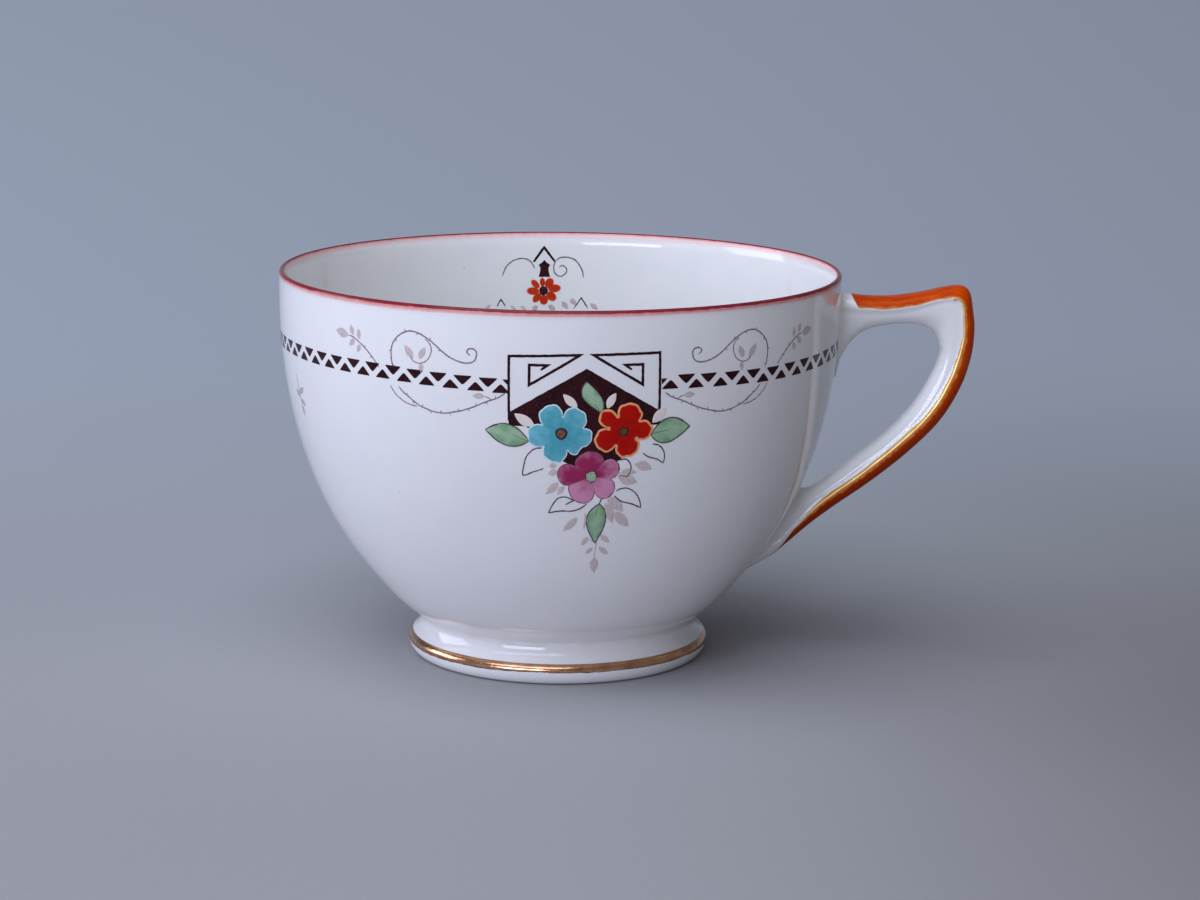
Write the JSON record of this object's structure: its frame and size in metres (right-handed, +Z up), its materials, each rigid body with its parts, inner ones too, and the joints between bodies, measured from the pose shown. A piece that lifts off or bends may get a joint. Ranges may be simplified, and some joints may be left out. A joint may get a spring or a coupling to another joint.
{
  "type": "teacup",
  "caption": "Footed bone china teacup with an angular loop handle, a floral panel, a lattice band, an orange handle edge and gilt lines.",
  "frame": {"origin": "centre of the flat ring that the foot rests on", "axes": "+Z up along the cup's axis, +X towards the handle, -Y towards the main panel"},
  "size_m": [0.1068, 0.0862, 0.06],
  "materials": {
    "bone_china": "thin white bone china under a clear gloss glaze",
    "luting_slip": "white slip joint under the same glaze",
    "rim_enamel": "dusty red enamel line, slightly uneven",
    "gilding": "burnished gold, a little worn at its lower edge",
    "orange_enamel": "hand-painted orange enamel, glossy",
    "dark_print": "dark maroon-brown transfer print",
    "pale_print": "fine grey-brown transfer print",
    "turquoise_enamel": "turquoise enamel, paler at the petal edges",
    "red_enamel": "red-orange enamel, paler at the petal edges",
    "pink_enamel": "pink to magenta enamel, shaded petal by petal",
    "centre_enamel": "olive-brown and pale green enamel dots",
    "green_enamel": "green enamel over a dark outline"
  },
  "bodies": {
    "root": {"bowl": "bone_china", "foot_ring": "bone_china", "handle": "bone_china", "foot_slip_joint": "luting_slip", "handle_slip_upper": "luting_slip", "handle_slip_lower": "luting_slip", "rim_enamel_line": "rim_enamel", "foot_gilt_band": "gilding", "handle_enamel": "orange_enamel", "handle_gilt_front": "gilding", "handle_gilt_rear": "gilding", "lattice_band": "dark_print", "side_sprigs": "pale_print", "front_key_lines": "dark_print", "front_dark_ground": "dark_print", "front_scrolls": "pale_print", "front_turquoise_flower": "turquoise_enamel", "front_red_flower": "red_enamel", "front_pink_flower": "pink_enamel", "front_flower_centres": "centre_enamel", "front_green_leaves": "green_enamel", "front_pale_leaves": "pale_print", "front_outlined_leaves": "dark_print", "rear_key_lines": "dark_print", "rear_dark_ground": "dark_print", "rear_scrolls": "pale_print", "rear_turquoise_flower": "turquoise_enamel", "rear_red_flower": "red_enamel", "rear_pink_flower": "pink_enamel", "rear_flower_centres": "centre_enamel", "rear_green_leaves": "green_enamel", "rear_pale_leaves": "pale_print", "rear_outlined_leaves": "dark_print", "inside_roof_print": "dark_print", "inside_flower": "red_enamel", "inside_scrolls": "pale_print"}
  },
  "joints": []
}
